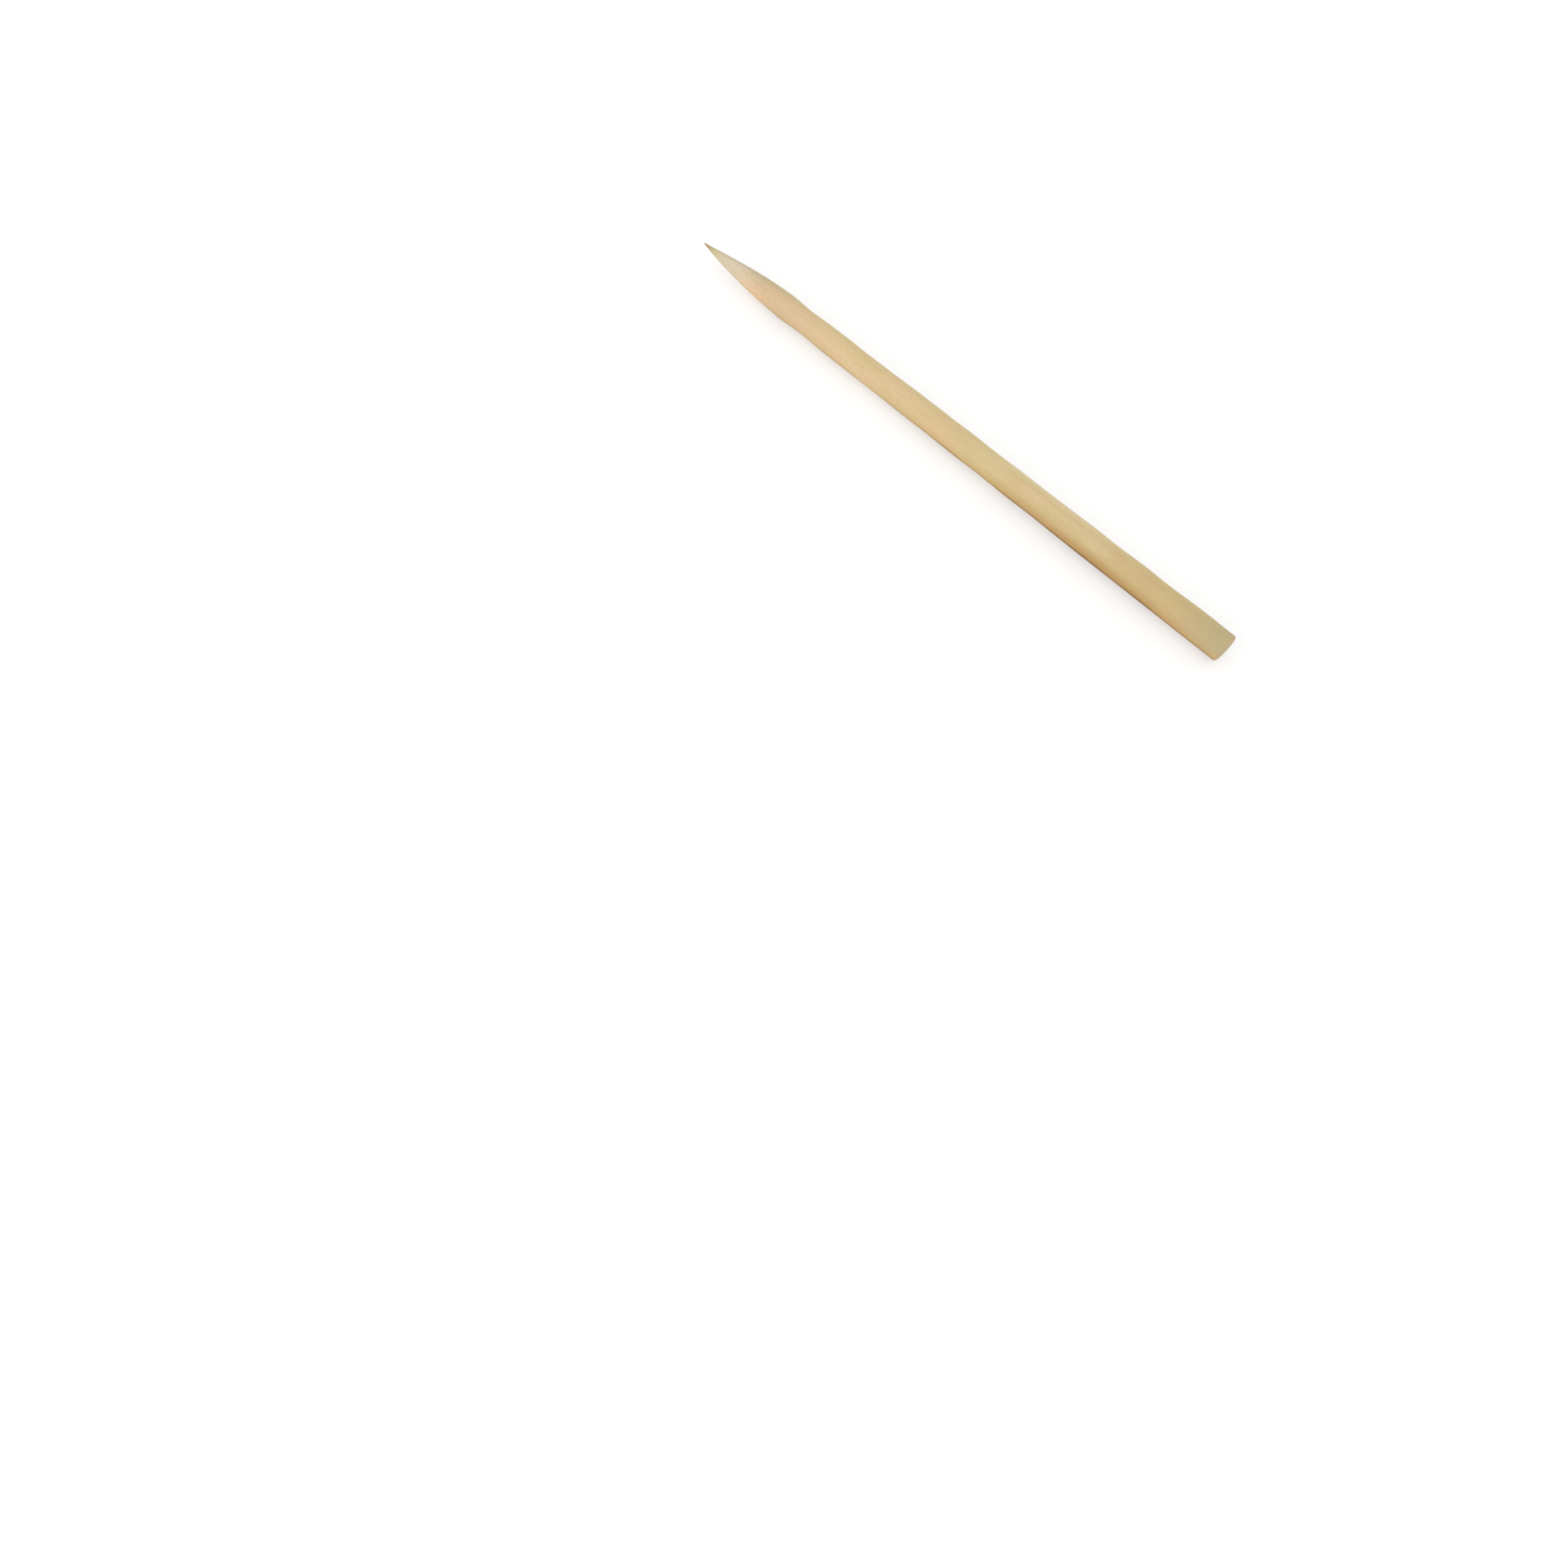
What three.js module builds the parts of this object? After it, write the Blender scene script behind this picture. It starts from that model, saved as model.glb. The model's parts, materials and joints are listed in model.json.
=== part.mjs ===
// A round wooden skewer, one piece of pale wood: cut square and eased at the butt,
// sharpened to a long rounded point at the other end.
// Millimetres. The stick lies along +X, its point at the far end, with +Z up.
// The origin is the centre of the flat butt face.
import * as THREE from 'three';

// Driving dimensions
const stickLength = 150;
const shankDiameter = 5.5; // at mid-length
const shankTaper = 0.3; // how much thicker the stick is at the butt than at the other end
const pointLength = 28.5; // from the tip back to the shoulder
const pointSlope = 1.4; // degrees, how steeply the point leaves the shoulder
const tipRadius = 0.1; // the tip is very slightly blunt
const shoulderSwell = 0.085; // how far the shoulder stands out from the shank
const neckDepth = 0.15; // how far the neck lies below the shank
const neckRunIn = 6.5; // from the shoulder back to the neck
const neckRunOut = 8; // from the neck back to the full shank
const rimRadius = 0.45; // the eased edge round the butt
const frontLean = 0.12; // how far the front of the stick stands off to +Y
const pointBelly = 0.18; // how far the point, before the tip, is fuller on its +Y side

// Waves that the cutter left along the shank: how far along it from the butt, as a fraction,
// and how far its -Y side and its +Y side stand out there
const waves = [
  [0, 0, 0],
  [0.066, 0.105, 0.02],
  [0.146, -0.04, 0.02],
  [0.193, 0.08, 0.02],
  [0.261, -0.05, 0.05],
  [0.31, 0.06, 0.06],
  [0.371, 0, 0.03],
  [0.427, -0.06, -0.015],
  [0.493, 0.01, 0.045],
  [0.559, -0.075, -0.045],
  [0.629, 0.02, 0.05],
  [0.662, -0.06, 0.045],
  [0.709, 0, -0.04],
  [0.765, 0.02, 0.03],
  [0.841, -0.075, -0.015],
  [0.916, -0.08, 0.01],
  [0.962, 0, 0],
  [1, 0, 0],
];

// Fineness of the faces
const sides = 36;
const shankFaces = 56;
const runFaces = 5;
const pointFaces = 16;
const noseFaces = 3;
const rimFaces = 3;

const shoulderX = stickLength - pointLength;
const neckX = shoulderX - neckRunIn;
const shankEndX = neckX - neckRunOut;
const buttRadius = shankRadiusAt(0);
const neckRadius = shankRadiusAt(neckX) - neckDepth;
const shoulderRadius = shankRadiusAt(shoulderX) + shoulderSwell;

function shankRadiusAt(x) {
  return (shankDiameter + shankTaper * (0.5 - x / stickLength)) / 2;
}

// How far the -Y and the +Y side stand out at x, eased from one wave's place to the next.
function waveAt(x) {
  const along = (x - rimRadius) / (shankEndX - rimRadius);
  const next = waves.findIndex((wave) => wave[0] > along);
  if (next < 1) return { minusY: 0, plusY: 0 };
  const [from, fromMinusY, fromPlusY] = waves[next - 1];
  const [to, toMinusY, toPlusY] = waves[next];
  const part = THREE.MathUtils.smoothstep(along, from, to);
  return {
    minusY: THREE.MathUtils.lerp(fromMinusY, toMinusY, part),
    plusY: THREE.MathUtils.lerp(fromPlusY, toPlusY, part),
  };
}

function wavyRadiusAt(x) {
  const { minusY, plusY } = waveAt(x);
  return shankRadiusAt(x) + (minusY + plusY) / 2;
}

function centreLineAt(x) {
  const lean = frontLean * THREE.MathUtils.smoothstep(x, 0.45 * stickLength, 0.7 * stickLength);
  if (x <= shoulderX) {
    const { minusY, plusY } = waveAt(x);
    return lean + (plusY - minusY) / 2;
  }
  const along = (x - shoulderX) / pointLength;
  return lean + pointBelly * Math.sin(Math.PI * along ** 2);
}

function rimProfile() {
  const rim = new THREE.EllipseCurve(
    buttRadius - rimRadius, rimRadius, rimRadius, rimRadius, -Math.PI / 2, 0,
  );
  return rim.getPoints(rimFaces);
}

function shankProfile() {
  const profile = [];
  for (let i = 1; i <= shankFaces; i += 1) {
    const x = THREE.MathUtils.mapLinear(i, 0, shankFaces, rimRadius, shankEndX);
    profile.push(new THREE.Vector2(wavyRadiusAt(x), x));
  }
  return profile;
}

// A smooth run from one radius to another, level at both ends.
function runProfile(fromX, toX, fromRadius, toRadius) {
  const profile = [];
  for (let i = 1; i <= runFaces; i += 1) {
    const x = THREE.MathUtils.mapLinear(i, 0, runFaces, fromX, toX);
    const part = THREE.MathUtils.smoothstep(x, fromX, toX);
    profile.push(new THREE.Vector2(THREE.MathUtils.lerp(fromRadius, toRadius, part), x));
  }
  return profile;
}

// The point is an ogive: an arc that leaves the shoulder almost level and meets the nose,
// a small ball at the tip, with no corner between them.
function pointProfile() {
  const leaveAngle = THREE.MathUtils.degToRad(pointSlope);
  const noseReach = pointLength - tipRadius;
  const arcFall = shoulderRadius * Math.cos(leaveAngle) - tipRadius
    - noseReach * Math.sin(leaveAngle);
  const arcRadius = (noseReach ** 2 + shoulderRadius ** 2 - tipRadius ** 2) / (2 * arcFall);
  const arcX = shoulderX - arcRadius * Math.sin(leaveAngle);
  const arcDepth = arcRadius * Math.cos(leaveAngle) - shoulderRadius;
  const meetAngle = Math.atan2(stickLength - tipRadius - arcX, arcDepth);
  const profile = [];
  for (let i = 1; i <= pointFaces; i += 1) {
    const angle = THREE.MathUtils.mapLinear(i, 0, pointFaces, leaveAngle, meetAngle);
    const radius = arcRadius * Math.cos(angle) - arcDepth;
    profile.push(new THREE.Vector2(radius, arcX + arcRadius * Math.sin(angle)));
  }
  for (let i = 1; i < noseFaces; i += 1) {
    const angle = THREE.MathUtils.mapLinear(i, 0, noseFaces, meetAngle, Math.PI / 2);
    const x = shoulderX + noseReach + tipRadius * Math.sin(angle);
    profile.push(new THREE.Vector2(tipRadius * Math.cos(angle), x));
  }
  return profile;
}

function stickGeometry() {
  const profile = [
    new THREE.Vector2(0, 0),
    ...rimProfile(),
    ...shankProfile(),
    ...runProfile(shankEndX, neckX, shankRadiusAt(shankEndX), neckRadius),
    ...runProfile(neckX, shoulderX, neckRadius, shoulderRadius),
    ...pointProfile(),
    new THREE.Vector2(0, stickLength),
  ];
  const geometry = new THREE.LatheGeometry(profile, sides);
  geometry.rotateZ(-Math.PI / 2);
  const position = geometry.attributes.position;
  for (let i = 0; i < position.count; i += 1) {
    position.setY(i, position.getY(i) + centreLineAt(position.getX(i)));
  }
  geometry.computeVertexNormals();
  return geometry;
}

const paleWood = new THREE.MeshStandardMaterial({
  color: 0xdec398,
  roughness: 0.72,
  metalness: 0,
});

const skewer = new THREE.Mesh(stickGeometry(), paleWood);
skewer.name = 'skewer';

const group = new THREE.Group();
group.add(skewer);

export default group;
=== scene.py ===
import json
import math

import bpy
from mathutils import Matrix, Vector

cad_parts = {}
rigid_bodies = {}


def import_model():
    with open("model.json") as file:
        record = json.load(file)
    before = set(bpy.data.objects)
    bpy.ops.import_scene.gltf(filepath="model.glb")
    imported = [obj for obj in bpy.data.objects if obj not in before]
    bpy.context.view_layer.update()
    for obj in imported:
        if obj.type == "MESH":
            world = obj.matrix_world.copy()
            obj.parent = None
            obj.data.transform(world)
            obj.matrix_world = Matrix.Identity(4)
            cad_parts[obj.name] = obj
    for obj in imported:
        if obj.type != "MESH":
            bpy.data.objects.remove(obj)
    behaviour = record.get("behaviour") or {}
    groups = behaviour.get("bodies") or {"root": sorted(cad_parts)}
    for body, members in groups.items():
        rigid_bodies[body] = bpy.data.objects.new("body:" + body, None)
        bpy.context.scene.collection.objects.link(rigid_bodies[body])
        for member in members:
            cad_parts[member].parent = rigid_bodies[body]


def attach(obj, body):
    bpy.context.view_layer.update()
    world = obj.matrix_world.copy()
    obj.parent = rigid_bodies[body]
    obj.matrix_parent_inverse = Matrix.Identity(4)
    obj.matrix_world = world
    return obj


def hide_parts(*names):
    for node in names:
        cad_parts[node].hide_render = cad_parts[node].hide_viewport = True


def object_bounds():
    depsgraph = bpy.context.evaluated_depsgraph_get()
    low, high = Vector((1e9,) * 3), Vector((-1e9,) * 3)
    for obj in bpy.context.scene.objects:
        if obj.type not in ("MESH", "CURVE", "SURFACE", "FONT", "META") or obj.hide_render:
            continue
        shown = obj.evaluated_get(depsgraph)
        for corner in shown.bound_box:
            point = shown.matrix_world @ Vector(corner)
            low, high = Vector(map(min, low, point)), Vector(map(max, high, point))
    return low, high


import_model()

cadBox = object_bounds()
mm = 0.001  # the shapes below are written in millimetres


def deselectAll():
    for item in bpy.context.view_layer.objects:
        item.select_set(False)


# Shader maths as Python expressions


class Wire:  # one output socket of a node
    def __init__(self, tree, socket=None):
        self.tree = tree
        self.socket = socket

    def add(self, kind, settings, inputs, output=0):
        node = self.tree.nodes.new(kind)
        for name, value in settings.items():
            if name == "stops":
                ramp = node.color_ramp.elements
                while len(ramp) < len(value):
                    ramp.new(0.5)
                for stop, (place, colour) in zip(ramp, value):
                    stop.position = place
                    stop.color = (*colour, 1)
            else:
                setattr(node, name, value)
        for name, value in inputs.items():
            if isinstance(value, Wire):
                self.tree.links.new(value.socket, node.inputs[name])
            else:
                node.inputs[name].default_value = value
        return Wire(self.tree, node.outputs[output])

    def surface(self):  # this wire is the finished shader
        output = self.tree.nodes.new("ShaderNodeOutputMaterial")
        self.tree.links.new(self.socket, output.inputs["Surface"])

    def maths(self, operation, first, second):
        return self.add("ShaderNodeMath", {"operation": operation}, {0: first, 1: second})

    def __add__(self, other):
        return self.maths("ADD", self, other)

    def __sub__(self, other):
        return self.maths("SUBTRACT", self, other)

    def __rsub__(self, other):
        return self.maths("SUBTRACT", other, self)

    def __mul__(self, other):
        return self.maths("MULTIPLY", self, other)

    def __truediv__(self, other):
        return self.maths("DIVIDE", self, other)

    def __pow__(self, other):
        return self.maths("POWER", self, other)

    def fade(self, low, high):  # 0 at low, 1 at high, smooth between; low may be above high
        settings = {"interpolation_type": "SMOOTHSTEP"}
        inputs = {0: self, 1: low, 2: high, 3: 0.0, 4: 1.0}
        if low > high:
            inputs = {0: self, 1: high, 2: low, 3: 1.0, 4: 0.0}
        return self.add("ShaderNodeMapRange", settings, inputs)

    def stretched(self, along, across, shift=(0, 0, 0)):  # its own scale along the stick
        inputs = {0: self, 1: (along, across, across), 2: shift}
        return self.add("ShaderNodeVectorMath", {"operation": "MULTIPLY_ADD"}, inputs)

    def noise(self, detail=3.0, roughness=0.5):  # this wire is the vector
        inputs = {"Vector": self, "Scale": 1.0, "Detail": detail, "Roughness": roughness}
        return self.add("ShaderNodeTexNoise", {}, inputs)

    def blend(self, other, factor, how="MIX"):  # this wire and the other are colours
        settings = {"data_type": "RGBA", "blend_type": how}
        return self.add("ShaderNodeMix", settings, {0: factor, 6: self, 7: other}, 2)


def srgb(red, green, blue):  # a colour as seen on screen, 0 to 255
    def linear(value):
        value = value / 255
        if value <= 0.04045:
            return value / 12.92
        return ((value + 0.055) / 1.055) ** 2.4

    return (linear(red), linear(green), linear(blue), 1.0)


# The stick: a ring at the butt, drawn out along +X ring by ring to the tip

stick = {
    "length": 150.0,
    "diameter": 5.5,  # at mid-length
    "taper": 0.3,  # how much thicker at the butt than at the other end
    "rim": 0.45,  # eased edge round the butt
    "pointLength": 28.5,
    "pointSlope": 1.4,  # degrees, how steeply the point leaves the shoulder
    "tipRadius": 0.1,
    "shoulderSwell": 0.085,
    "neckDepth": 0.15,
    "neckRunIn": 6.5,  # shoulder back to neck
    "neckRunOut": 8.0,  # neck back to full shank
    "frontLean": 0.12,  # the front stands off to +Y
    "pointBelly": 0.18,  # the point, before the tip, is fuller on its +Y side
    "waves": [  # place along the shank, and how far its -Y and its +Y side stand out there
        (0, 0, 0),
        (0.066, 0.105, 0.02),
        (0.146, -0.04, 0.02),
        (0.193, 0.08, 0.02),
        (0.261, -0.05, 0.05),
        (0.31, 0.06, 0.06),
        (0.371, 0, 0.03),
        (0.427, -0.06, -0.015),
        (0.493, 0.01, 0.045),
        (0.559, -0.075, -0.045),
        (0.629, 0.02, 0.05),
        (0.662, -0.06, 0.045),
        (0.709, 0, -0.04),
        (0.765, 0.02, 0.03),
        (0.841, -0.075, -0.015),
        (0.916, -0.08, 0.01),
        (0.962, 0, 0),
        (1, 0, 0),
    ],
    "sides": 120,
    "rimRings": 6,
    "shankRings": 110,
    "runRings": 12,
    "pointRings": 44,
    "noseRings": 5,
    "buttInsets": 6,
    "waver": 0.03,  # slow unevenness of the surface
    "waverLength": 9.0,
    "waverWidth": 6.0,
    "fibreRelief": 0.014,  # raised grain
    "fibreLength": 14.0,
    "fibreWidth": 0.42,
    "sunk": 0.75,  # share of the unevenness that goes inwards, to stay inside the plain solid
    "smoothUnder": 40,  # degrees between faces that are shaded as one
}

shoulderX = stick["length"] - stick["pointLength"]
neckX = shoulderX - stick["neckRunIn"]
shankEndX = neckX - stick["neckRunOut"]


def radiusAt(x):
    return (stick["diameter"] + stick["taper"] * (0.5 - x / stick["length"])) / 2


def eased(part):  # 0 to 1, level at both ends
    part = min(max(part, 0.0), 1.0)
    return part * part * (3 - 2 * part)


def waveAt(x):  # how far the -Y and the +Y side stand out
    along = (x - stick["rim"]) / (shankEndX - stick["rim"])
    for here, beyond in zip(stick["waves"], stick["waves"][1:]):
        if here[0] <= along < beyond[0]:
            part = eased((along - here[0]) / (beyond[0] - here[0]))
            return [low + (high - low) * part for low, high in zip(here[1:], beyond[1:])]
    return [0.0, 0.0]


def centreAt(x):
    lean = stick["frontLean"] * eased((x / stick["length"] - 0.45) / 0.25)
    if x <= shoulderX:
        minusY, plusY = waveAt(x)
        return lean + (plusY - minusY) / 2
    along = (x - shoulderX) / stick["pointLength"]
    return lean + stick["pointBelly"] * math.sin(math.pi * along ** 2)


def easedRun(fromX, toX, fromRadius, toRadius, rings):
    run = []
    for ring in range(1, rings + 1):
        part = ring / rings
        radius = fromRadius + (toRadius - fromRadius) * eased(part)
        run.append((fromX + (toX - fromX) * part, radius))
    return run


def pointRun(shoulderRadius):  # an arc from the shoulder to the ball of the nose
    nose = stick["tipRadius"]
    reach = stick["pointLength"] - nose
    leave = math.radians(stick["pointSlope"])
    fall = shoulderRadius * math.cos(leave) - nose - reach * math.sin(leave)
    arcRadius = (reach ** 2 + shoulderRadius ** 2 - nose ** 2) / (2 * fall)
    arcX = shoulderX - arcRadius * math.sin(leave)
    depth = arcRadius * math.cos(leave) - shoulderRadius
    meetAngle = math.atan2(shoulderX + reach - arcX, depth)
    run = []
    for ring in range(1, stick["pointRings"] + 1):
        angle = leave + (meetAngle - leave) * ring / stick["pointRings"]
        run.append((arcX + arcRadius * math.sin(angle), arcRadius * math.cos(angle) - depth))
    for ring in range(1, stick["noseRings"]):
        angle = meetAngle + (math.pi / 2 - meetAngle) * ring / stick["noseRings"]
        run.append((shoulderX + reach + nose * math.sin(angle), nose * math.cos(angle)))
    return run


def stickRings():  # place along the stick and radius of each ring after the first
    rim = stick["rim"]
    flat = radiusAt(0) - rim
    rings = []
    for ring in range(1, stick["rimRings"] + 1):
        angle = math.pi / 2 * ring / stick["rimRings"]
        rings.append((rim * (1 - math.cos(angle)), flat + rim * math.sin(angle)))
    for ring in range(1, stick["shankRings"] + 1):
        x = rim + (shankEndX - rim) * ring / stick["shankRings"]
        rings.append((x, radiusAt(x) + sum(waveAt(x)) / 2))
    neckRadius = radiusAt(neckX) - stick["neckDepth"]
    shoulderRadius = radiusAt(shoulderX) + stick["shoulderSwell"]
    rings += easedRun(shankEndX, neckX, radiusAt(shankEndX), neckRadius, stick["runRings"])
    rings += easedRun(neckX, shoulderX, neckRadius, shoulderRadius, stick["runRings"])
    rings += pointRun(shoulderRadius)
    return rings


def drawOutStick():
    deselectAll()
    first = radiusAt(0) - stick["rim"]
    bpy.ops.mesh.primitive_circle_add(
        vertices=stick["sides"], radius=first * mm, fill_type="NGON",
        location=(0, 0, 0), rotation=(0, math.pi / 2, 0),
    )
    body = bpy.context.active_object
    body.name = "skewerWood"
    bpy.ops.object.transform_apply(location=True, rotation=True, scale=True)
    bpy.ops.object.mode_set(mode="EDIT")
    bpy.ops.mesh.select_all(action="SELECT")
    lastX, lastRadius, lastCentre = 0.0, first, 0.0
    for x, radius in stickRings():
        centre = centreAt(x)
        step = ((x - lastX) * mm, (centre - lastCentre) * mm, 0)
        bpy.ops.mesh.extrude_region_move(TRANSFORM_OT_translate={"value": step})
        grow = radius / lastRadius
        bpy.ops.transform.resize(value=(1, grow, grow), center_override=(x * mm, centre * mm, 0))
        lastX, lastRadius, lastCentre = x, radius, centre
    bpy.ops.mesh.extrude_region_move(
        TRANSFORM_OT_translate={"value": ((stick["length"] - lastX) * mm, 0, 0)})
    bpy.ops.mesh.merge(type="CENTER")
    bpy.ops.mesh.select_all(action="SELECT")
    bpy.ops.mesh.remove_doubles(threshold=0.0005 * mm)
    bpy.ops.mesh.normals_make_consistent(inside=False)
    bpy.ops.object.mode_set(mode="OBJECT")
    return body


def insetButt(body):  # rings across the cut end, so that it can take the unevenness
    bpy.ops.object.mode_set(mode="EDIT")
    bpy.ops.mesh.select_all(action="DESELECT")
    bpy.ops.object.mode_set(mode="OBJECT")
    for face in body.data.polygons:
        face.select = face.normal.x < -0.99 and len(face.vertices) > 4
    bpy.ops.object.mode_set(mode="EDIT")
    bpy.context.tool_settings.mesh_select_mode = (False, False, True)
    width = (radiusAt(0) - stick["rim"]) * mm / (stick["buttInsets"] + 1)
    for _ in range(stick["buttInsets"]):
        bpy.ops.mesh.inset(thickness=width)
    bpy.context.tool_settings.mesh_select_mode = (True, False, False)
    bpy.ops.object.mode_set(mode="OBJECT")


def roughen(body, name, scale, height, depth):  # unevenness stretched along the stick
    texture = bpy.data.textures.new(name, "CLOUDS")
    texture.noise_scale = 1.0
    texture.noise_depth = depth
    deselectAll()
    bpy.ops.object.empty_add(location=(0, 0, 0))
    ruler = bpy.context.active_object
    ruler.scale = [value * mm for value in scale]
    bpy.context.view_layer.update()
    deselectAll()
    body.select_set(True)
    bpy.context.view_layer.objects.active = body
    displace = body.modifiers.new(name, "DISPLACE")
    displace.texture = texture
    displace.texture_coords = "OBJECT"
    displace.texture_coords_object = ruler
    displace.mid_level = stick["sunk"]
    displace.strength = height * mm
    bpy.ops.object.modifier_apply(modifier=name)
    bpy.data.objects.remove(ruler)
    bpy.data.textures.remove(texture)


wood = {
    "zones": [  # place along the stick in millimetres, and the colour there
        (2.0, srgb(190, 174, 130)),  # greyer at the cut
        (12.0, srgb(204, 177, 127)),  # tan at the back
        (48.0, srgb(210, 188, 135)),  # yellower behind the middle
        (100.0, srgb(225, 196, 152)),  # lighter towards the front
        (129.0, srgb(213, 187, 147)),  # shoulder
        (134.5, srgb(222, 203, 175)),  # whitish point
        (141.0, srgb(221, 206, 181)),
        (145.5, srgb(209, 200, 156)),  # greener before the tip
        (149.5, srgb(156, 124, 74)),  # brown tip
    ],
    "zoneWander": 4.0,  # how unevenly one zone runs into the next
    "upper": srgb(215, 199, 145),  # greener along the -Y side, partly the wood's tint and partly painted shade at its grazing edge
    "pink": srgb(226, 192, 154),
    "olive": srgb(206, 190, 132),
    "light": srgb(240, 220, 184),
    "brown": srgb(184, 144, 92),  # grain, pores and rings
    "goldenEdgeShade": srgb(214, 170, 98),  # painted shade: golden edge of the painted brown shade low on the +Y side, partly a warmer tint of the wood
    "undersideShade": srgb(140, 98, 46),  # painted shade: the brown shade low on the +Y side and underneath
    "greyShadedPointTop": srgb(180, 174, 142),  # upper side of the point, greyer and darker: partly a tint, partly painted shade
    "peach": srgb(246, 206, 164),  # lower side of the point
    "endGrain": srgb(204, 184, 138),
    "pith": (19.0, -31.0),  # y and z of the middle of the growth rings, outside the stick
    "ringSpacing": 1.35,
    "ringWaver": 1.6,
    "roughness": 0.66,
    "bump": 0.4,
    "bumpHeight": 0.05,
    "specular": 0.3,
    "across": (0.774, -0.634),  # y and z of the way from the greener, shaded side to the painted brown shade low on the +Y side
    # places along the stick in millimetres: where something begins and where it is full,
    # and for a patch also where it is still full and where it is over
    "cut": (0.5, 0.1),
    "tinted": (4.0, 26.0),
    "greener": (-20.0, 45.0),
    "palePatch": (24.0, 38.0, 50.0, 64.0),
    # where the painted shade low on the +Y side grows stronger, and where its wide rear part lies
    "thinEdgeShade": (89.0, 68.0),
    "wideUnderShade": (68.0, 32.0, 26.0, 2.0),
    "greyPoint": (112.0, 134.0),
    "peachPatch": (124.0, 129.0, 132.0, 137.0),
    "tipGrain": (138.0, 144.0),
    "calmTip": (1.0, 14.0),  # back from the tip
    "share": {  # how much of its tone each feature lays over the zones, 0 to 1
        "pink": 0.42,
        "olive": 0.4,
        "light": 0.18,
        "upper": 0.7,
        "palePatch": 0.4,
        "greyShadedPointTop": 0.62,
        "peach": 0.5,
        "rings": 0.05,
        "fibres": 0.12,
        "pores": 0.28,
        "mottle": 0.18,
        "darkGrit": 0.1,
        "paleGrit": 0.13,
        "dots": 0.45,
        "tipGrain": 0.3,
        # strengths of the painted shade low on the +Y side and underneath
        "wideUnderShade": 0.36,
        "downward": 0.2,
        "cutRings": 0.12,
    },
}


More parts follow.
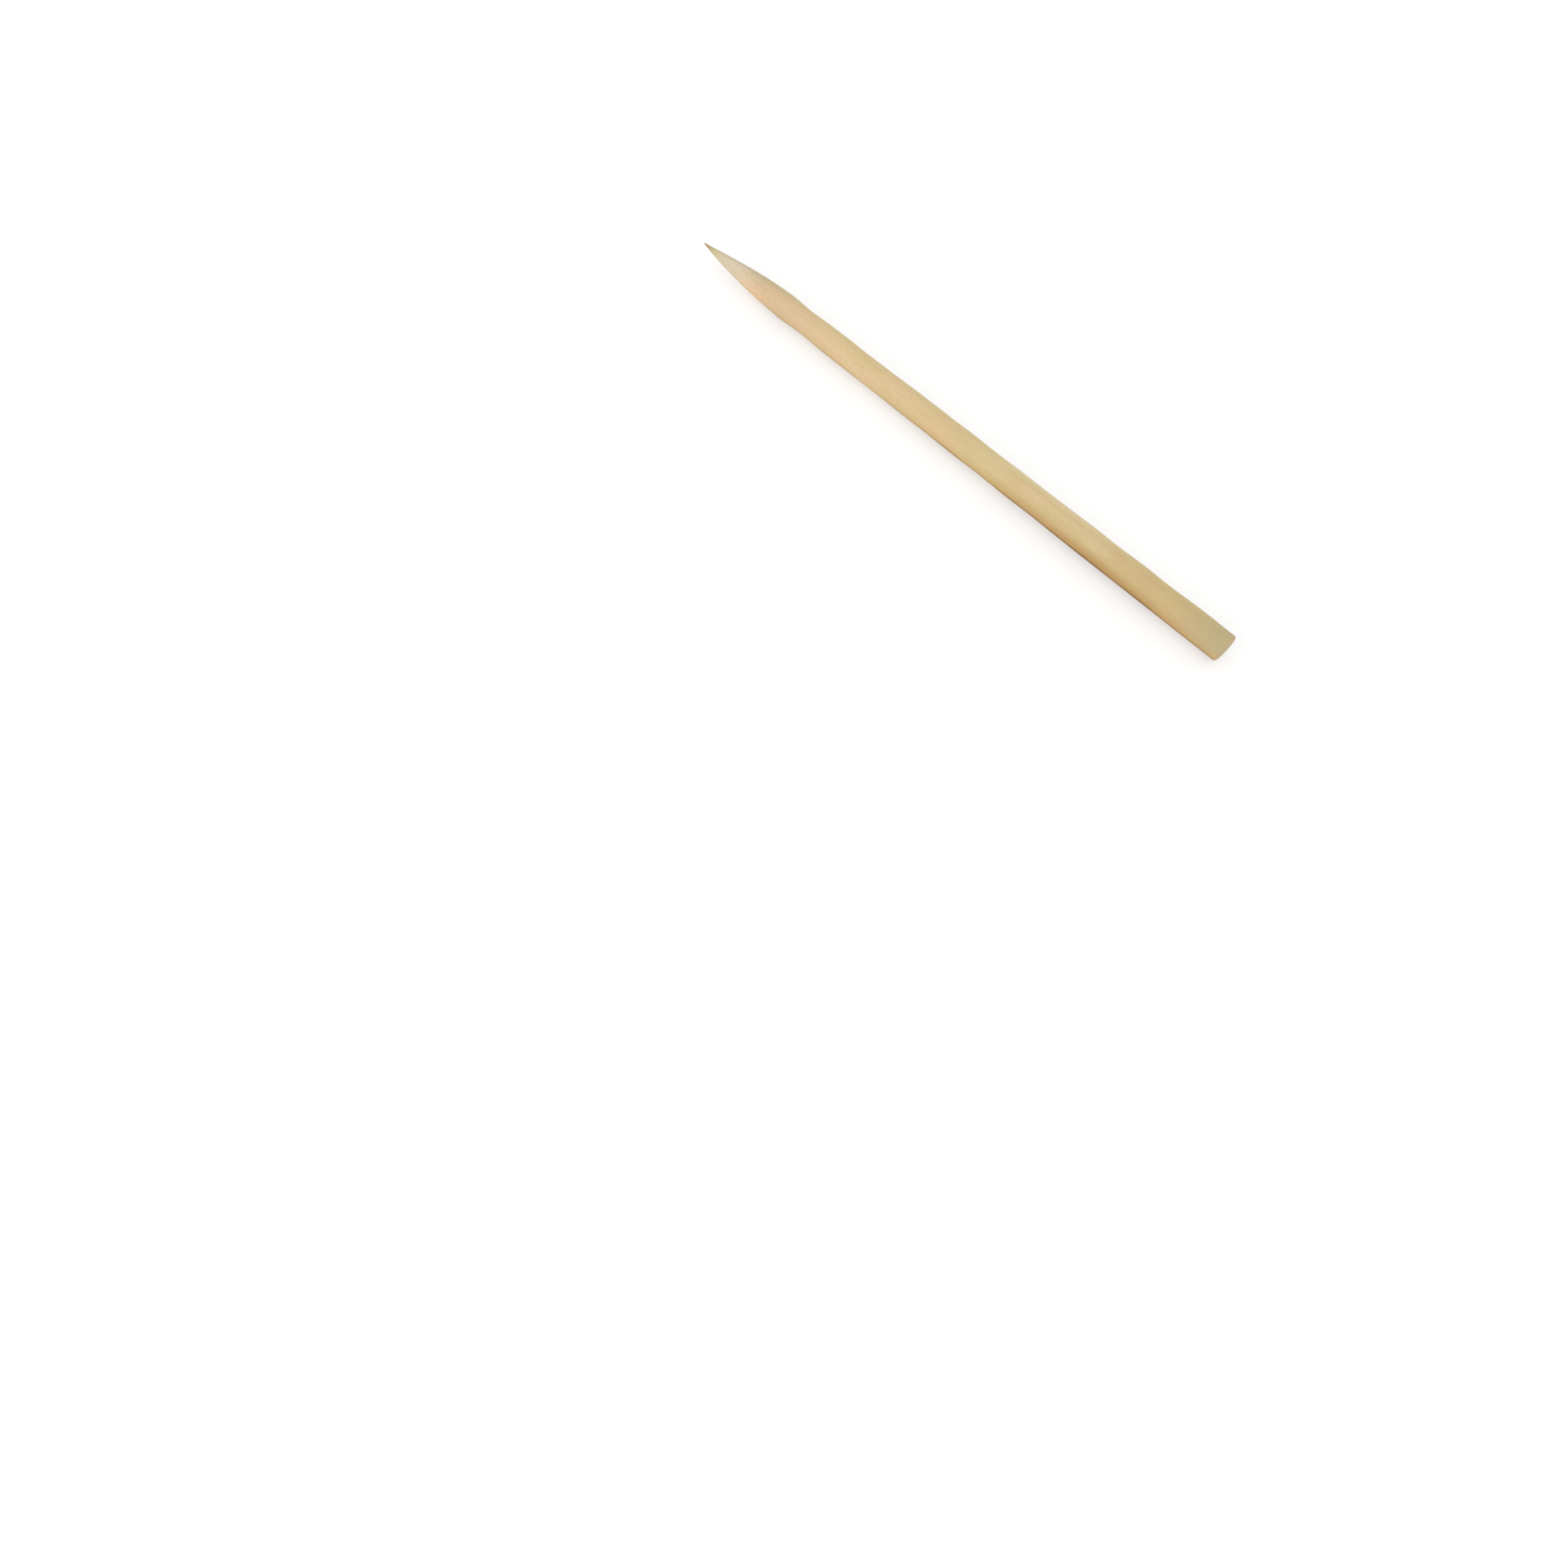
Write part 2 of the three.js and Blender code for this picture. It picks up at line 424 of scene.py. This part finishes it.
def paintWood():
    material = bpy.data.materials.new("paleBirch")
    material.use_nodes = True
    tree = material.node_tree
    tree.nodes.clear()
    start = Wire(tree)
    place = start.add("ShaderNodeTexCoord", {}, {}, "Object")
    place = start.add("ShaderNodeVectorMath", {"operation": "SCALE"}, {0: place, "Scale": 1 / mm})
    x = start.add("ShaderNodeSeparateXYZ", {}, {0: place}, 0)
    y = start.add("ShaderNodeSeparateXYZ", {}, {0: place}, 1)
    z = start.add("ShaderNodeSeparateXYZ", {}, {0: place}, 2)

    patches = place.stretched(0.055, 0.2).noise(2.0)
    tints = place.stretched(0.075, 0.26, (31, 7, 13)).noise(3.0)
    wander = place.stretched(0.12, 0.5).noise(2.0)
    fibres = place.stretched(0.07, 3.2).noise(5.0, 0.62)
    pores = place.stretched(0.5, 13.0).noise(3.0, 0.6)
    mottle = place.stretched(0.9, 1.9).noise(4.0, 0.7)
    grit = place.stretched(3.2, 5.2).noise(3.0, 0.7)
    dots = place.stretched(2.4, 4.4, (5, 3, 9)).noise(1.0)

    pithY, pithZ = wood["pith"]
    fromPith = ((y - pithY) ** 2.0 + (z - pithZ) ** 2.0) ** 0.5 + wander * wood["ringWaver"]
    turns = fromPith * (2 * math.pi / wood["ringSpacing"])
    rings = start.add("ShaderNodeMath", {"operation": "SINE"}, {0: turns})

    length = stick["length"]
    stops = [(along / length, tone[:3]) for along, tone in wood["zones"]]
    loose = (length - x).fade(*wood["calmTip"]) * wood["zoneWander"]
    along = (x + (wander - 0.5) * loose + (mottle - 0.5) * loose * 0.6) / length
    colour = start.add("ShaderNodeValToRGB", {"stops": stops}, {0: along})

    acrossY, acrossZ = wood["across"]
    side = (y * acrossY + z * acrossZ) * (2 / stick["diameter"])
    uneven = (mottle - 0.5) * 0.4 + (wander - 0.5) * 0.6
    share = wood["share"]
    tinted = x.fade(*wood["tinted"])
    colour = colour.blend(wood["pink"], tinted * tints.fade(0.5, 0.68) * share["pink"])
    colour = colour.blend(wood["olive"], tints.fade(0.5, 0.32) * share["olive"])
    colour = colour.blend(wood["light"], tinted * patches.fade(0.5, 0.72) * share["light"])
    # greener and darker toward the -Y edge: partly the wood's tint, partly painted shade at the
    # grazing edge
    upper = (side + uneven * 0.7).fade(-0.5, -1.0)
    colour = colour.blend(wood["upper"], x.fade(*wood["greener"]) * upper * share["upper"])
    begins, full, stillFull, over = wood["palePatch"]
    palePatch = x.fade(over, stillFull) * x.fade(begins, full) * upper
    colour = colour.blend(wood["light"], palePatch * share["palePatch"])

    # the point is greyer above, partly a tint and partly painted shade, and pinker below, up to
    # its own narrower edges
    fromTip = (length - x) / stick["pointLength"]
    fromTip = fromTip.maths("MINIMUM", fromTip, 1.0)
    pointSide = side / (fromTip * (2.0 - fromTip) + 0.05)
    upperPoint = x.fade(*wood["greyPoint"]) * (pointSide + uneven * 0.5).fade(0.0, -1.0)
    colour = colour.blend(wood["greyShadedPointTop"], upperPoint * share["greyShadedPointTop"])
    begins, full, stillFull, over = wood["peachPatch"]
    lowerPoint = x.fade(begins, full) * x.fade(over, stillFull)
    peachPatch = lowerPoint * (pointSide + uneven).fade(-0.1, 0.7)
    colour = colour.blend(wood["peach"], peachPatch * share["peach"])

    # grain, pores and specks
    colour = colour.blend(wood["brown"], rings.fade(0.2, 1.0) * share["rings"])
    colour = colour.blend(wood["brown"], fibres.fade(0.5, 0.8) * share["fibres"])
    colour = colour.blend(wood["brown"], pores.fade(0.56, 0.7) * share["pores"])
    colour = colour.blend(wood["brown"], mottle.fade(0.5, 0.25) * share["mottle"])
    colour = colour.blend(wood["brown"], grit.fade(0.46, 0.3) * share["darkGrit"])
    colour = colour.blend(wood["light"], grit.fade(0.54, 0.7) * share["paleGrit"])
    colour = colour.blend(wood["light"], dots.fade(0.7, 0.78) * share["dots"])
    tipGrain = x.fade(*wood["tipGrain"]) * fibres.fade(0.46, 0.66)
    colour = colour.blend(wood["brown"], tipGrain * share["tipGrain"])

    # painted shade: a brown shade low on the +Y side and under the stick, widest in the rear
    # third
    low = side + uneven * 0.25
    midway = x.fade(*wood["thinEdgeShade"])
    begins, full, stillFull, over = wood["wideUnderShade"]
    rearwards = x.fade(begins, full) * x.fade(over, stillFull)
    goldenEdgeShade = (low + rearwards * 0.15).fade(0.42, 0.98)
    colour = colour.blend(wood["goldenEdgeShade"], goldenEdgeShade * (midway * 0.25 + rearwards * 0.2 + 0.15))
    wideUnderShade = low.fade(0.1, 0.9) * rearwards
    colour = colour.blend(wood["undersideShade"], wideUnderShade * share["wideUnderShade"])
    thinEdgeShade = low.fade(0.86, 1.0) * (midway * 0.4 + rearwards * 0.35 + 0.2)
    colour = colour.blend(wood["undersideShade"], thinEdgeShade)
    # painted shade: darker towards the bottom of the stick
    downward = z * (-2 / stick["diameter"]) + uneven * 0.3
    colour = colour.blend(wood["undersideShade"], downward.fade(0.5, 1.0) * share["downward"])

    # end grain, with faint rings
    cut = x.fade(*wood["cut"])
    colour = colour.blend(wood["endGrain"], cut * (mottle * 0.4 + 0.35))
    colour = colour.blend(wood["brown"], cut * rings.fade(0.0, 1.0) * share["cutRings"])

    roughness = (fibres - 0.5) * 0.16 + (mottle - 0.5) * 0.1 + wood["roughness"]
    relief = fibres * 0.6 - pores * 0.6 + mottle * 0.25 + grit * 0.15
    bump = start.add("ShaderNodeBump", {}, {
        "Strength": wood["bump"], "Distance": wood["bumpHeight"] * mm, "Height": relief})
    shader = start.add("ShaderNodeBsdfPrincipled", {}, {
        "Base Color": colour, "Roughness": roughness, "Normal": bump,
        "Specular IOR Level": wood["specular"]})
    shader.surface()
    return material


print("stick")
body = drawOutStick()
insetButt(body)
waverScale = (stick["waverLength"], stick["waverWidth"], stick["waverWidth"])
roughen(body, "waver", waverScale, stick["waver"], 1)
fibreScale = (stick["fibreLength"], stick["fibreWidth"], stick["fibreWidth"])
roughen(body, "fibre", fibreScale, stick["fibreRelief"], 2)
deselectAll()
body.select_set(True)
bpy.context.view_layer.objects.active = body
bpy.ops.object.shade_smooth_by_angle(angle=math.radians(stick["smoothUnder"]))
body.data.materials.clear()
body.data.materials.append(paintWood())
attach(body, "root")
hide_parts("skewer")


# Floor, light and camera

studio = {
    "floorSize": 4.0,
    "floorColour": (0.88, 0.88, 0.88, 1),
    "seenFloor": (0.55, 0.55, 0.55, 1),
    "floorGlow": 0.5,  # for the camera only: it makes the shadow paler
    "floorRoughness": 0.9,
    "floorSpecular": 0.1,
    "skyStrength": 0.88,
    "keyPower": 4.2,
    "keySize": 1.4,
    "keyPlace": (0.3, 1.2, 0.8),
    "middle": (0.075, 0, 0),  # of the stick
}

camera = {
    "place": (-26.57, 132.05, 161.14),  # millimetres
    "heading": 228.421,  # degrees, 0 looks along +Y
    "lookDown": 63.632,
    "lens": 24.0,
    "sensor": 36.0,
    "clipStart": 0.01,  # metres
}


def whiteForCamera(start, otherwise, seen):  # one colour as seen, another as it lights the stick
    cameraRay = start.add("ShaderNodeLightPath", {}, {}, "Is Camera Ray")
    glossyRay = start.add("ShaderNodeLightPath", {}, {}, "Is Glossy Ray")
    clearRay = start.add("ShaderNodeLightPath", {}, {}, "Is Transmission Ray")
    direct = cameraRay.maths("MAXIMUM", cameraRay, glossyRay)
    direct = direct.maths("MAXIMUM", direct, clearRay)
    base = start.add("ShaderNodeRGB", {}, {})
    base.socket.default_value = otherwise
    return base.blend(seen, direct)


def layFloor():
    deselectAll()
    place = (*studio["middle"][:2], cadBox[0][2])
    bpy.ops.mesh.primitive_plane_add(size=studio["floorSize"], location=place)
    floor = bpy.context.active_object
    floor.name = "floor"
    bpy.ops.object.transform_apply(location=True, rotation=True, scale=True)
    material = bpy.data.materials.new("paleFloor")
    material.use_nodes = True
    shader = material.node_tree.nodes["Principled BSDF"]
    start = Wire(material.node_tree)
    colour = whiteForCamera(start, studio["floorColour"], studio["seenFloor"])
    material.node_tree.links.new(colour.socket, shader.inputs["Base Color"])
    glow = whiteForCamera(start, (0, 0, 0, 1), (1, 1, 1, 1))
    material.node_tree.links.new(glow.socket, shader.inputs["Emission Color"])
    shader.inputs["Emission Strength"].default_value = studio["floorGlow"]
    shader.inputs["Roughness"].default_value = studio["floorRoughness"]
    shader.inputs["Specular IOR Level"].default_value = studio["floorSpecular"]
    floor.data.materials.append(material)


def lightSky():
    world = bpy.data.worlds.new("studioSky")
    bpy.context.scene.world = world
    world.use_nodes = True
    background = world.node_tree.nodes["Background"]
    sky = studio["skyStrength"]
    colour = whiteForCamera(Wire(world.node_tree), (sky, sky, sky, 1), (1, 1, 1, 1))
    world.node_tree.links.new(colour.socket, background.inputs["Color"])
    background.inputs["Strength"].default_value = 1.0


def hangKeyLight():
    deselectAll()
    bpy.ops.object.light_add(type="AREA", location=studio["keyPlace"])
    light = bpy.context.active_object
    light.name = "keyLight"
    light.data.shape = "DISK"
    light.data.size = studio["keySize"]
    light.data.energy = studio["keyPower"]
    aim = [middle - place for middle, place in zip(studio["middle"], light.location)]
    tilt = math.atan2(aim[2], math.hypot(aim[0], aim[1]))
    light.rotation_euler = (math.pi / 2 + tilt, 0, math.atan2(-aim[0], aim[1]))


def setCamera():
    deselectAll()
    place = [value * mm for value in camera["place"]]
    turn = (math.radians(90 - camera["lookDown"]), 0, math.radians(camera["heading"]))
    bpy.ops.object.camera_add(location=place, rotation=turn)
    eye = bpy.context.active_object
    eye.name = "photoCamera"
    eye.data.lens = camera["lens"]
    eye.data.sensor_width = camera["sensor"]
    eye.data.clip_start = camera["clipStart"]
    bpy.context.scene.camera = eye


print("studio")
layFloor()
lightSky()
hangKeyLight()
setCamera()
bpy.context.scene.view_settings.view_transform = "Standard"
